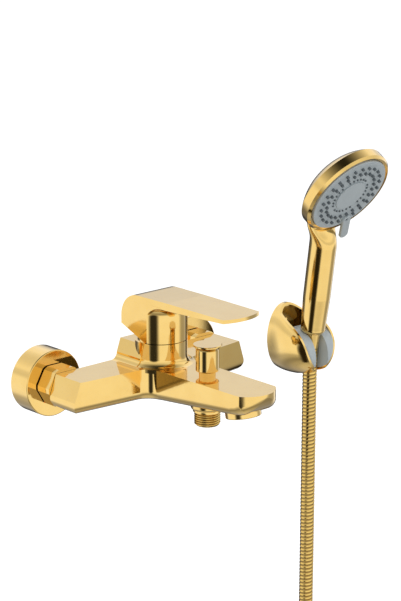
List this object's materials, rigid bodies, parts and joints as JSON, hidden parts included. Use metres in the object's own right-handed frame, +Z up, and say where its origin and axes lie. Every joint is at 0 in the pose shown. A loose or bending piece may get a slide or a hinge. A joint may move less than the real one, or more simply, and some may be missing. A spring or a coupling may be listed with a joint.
{
  "type": "bath shower mixer",
  "caption": "Wall bath and shower mixer with a flat lever, pull diverter, spout, and a hand shower with its hose in a wall bracket.",
  "frame": {"origin": "on the wall's face, midway between the two inlet threads", "axes": "+X to the right along the wall, +Y into the wall, +Z up; the spout comes out along -Y"},
  "size_m": [0.3776, 0.201, 0.6384],
  "materials": {
    "gold_brass": "polished",
    "gold_plated_plastic": "polished gold plating",
    "gold_hose": "polished gold, ribbed",
    "plain_brass": "turned",
    "steel": "turned",
    "black_rubber": "matt",
    "dark_rubber": "matt",
    "ceramic_disc": "lapped ceramic",
    "pale_plastic": "moulded",
    "grey_plastic": "satin"
  },
  "bodies": {
    "mixer": {"mixer_body": "gold_brass", "wall_flange_left": "gold_brass", "wall_flange_right": "gold_brass", "eccentric_union_left": "plain_brass", "eccentric_union_right": "plain_brass", "union_nut_left": "gold_brass", "union_nut_right": "gold_brass", "filter_washer_left": "black_rubber", "filter_washer_right": "black_rubber", "cartridge_housing": "pale_plastic", "port_seals": "black_rubber", "fixed_ceramic_disc": "ceramic_disc", "cartridge_nut": "plain_brass", "dome_collar": "gold_brass", "diverter_bonnet": "gold_brass", "rod_o_ring": "black_rubber", "shower_nipple": "gold_brass", "nipple_gasket": "black_rubber", "check_valve": "pale_plastic", "aerator_housing": "gold_brass", "aerator_insert": "pale_plastic", "aerator_washer": "black_rubber", "bracket_shell": "gold_plated_plastic", "bracket_liner": "grey_plastic"},
    "swivel": {"stem_guide": "pale_plastic", "stem_pin": "steel"},
    "lever": {"lever_handle": "gold_brass", "lever_grub_screw": "steel", "lever_plug": "grey_plastic", "cartridge_stem": "steel"},
    "mixing_disc": {"moving_ceramic_disc": "ceramic_disc", "disc_carrier": "pale_plastic"},
    "diverter": {"diverter_knob": "gold_brass", "diverter_rod": "plain_brass", "diverter_valve": "plain_brass", "diverter_seals": "black_rubber", "diverter_spring": "steel"},
    "hose": {"hose_hanging": "gold_hose", "hose_coil": "gold_hose", "hose_tie": "grey_plastic", "hose_ferrule": "gold_brass", "hose_washer_end": "black_rubber"},
    "hand_shower": {"handset_shell": "gold_plated_plastic", "handset_core": "pale_plastic", "flow_plate": "pale_plastic", "flow_plate_seal": "black_rubber", "face_screw": "steel", "hose_nut_top": "gold_brass", "hose_washer_top": "black_rubber"},
    "spray_dial": {"spray_face": "grey_plastic", "spray_nozzles": "dark_rubber", "centre_cap": "grey_plastic"},
    "end_nut": {"hose_nut_end": "gold_brass"}
  },
  "joints": [
    {"name": "lever_swivel", "type": "hinge", "parent": "mixer", "child": "swivel", "pos_m": [0, -0.06535, 0.022], "axis": [0, 0, 1], "range_deg": [-50, 50]},
    {"name": "lever_lift", "type": "hinge", "parent": "swivel", "child": "lever", "pos_m": [0, -0.06535, 0.022], "axis": [-1, 0, 0], "range_deg": [0, 20]},
    {"name": "disc_slide", "type": "slide", "parent": "swivel", "child": "mixing_disc", "axis": [0, -1, 0], "range_m": [0, 0.0042]},
    {"name": "diverter_pull", "type": "slide", "parent": "mixer", "child": "diverter", "axis": [0, 0, 1], "range_m": [0, 0.006], "stiffness_N_per_m": 400, "springref_m": -0.002, "deforming": ["diverter_spring"]},
    {"name": "handset_lift", "type": "slide", "parent": "mixer", "child": "hose", "axis": [0, -0.1323, 0.9912], "range_m": [0, 0.06]},
    {"name": "handset_turn", "type": "hinge", "parent": "hose", "child": "hand_shower", "pos_m": [0.207, -0.0372, -0.0137], "axis": [0, -0.1323, 0.9912], "range_deg": [-45, 45]},
    {"name": "spray_dial_turn", "type": "hinge", "parent": "hand_shower", "child": "spray_dial", "pos_m": [0.207, -0.0784, 0.1182], "axis": [0, -0.8271, -0.5621], "range_deg": [0, 60]},
    {"name": "end_nut_turn", "type": "hinge", "parent": "hose", "child": "end_nut", "pos_m": [0.19504, -0.09027, -0.34768], "axis": [-0.9965, -0.0839, 0], "continuous": true}
  ],
  "couplings": [
    {"joint": "disc_slide", "follows": "lever_lift", "m_per_rad": 0.0118}
  ]
}
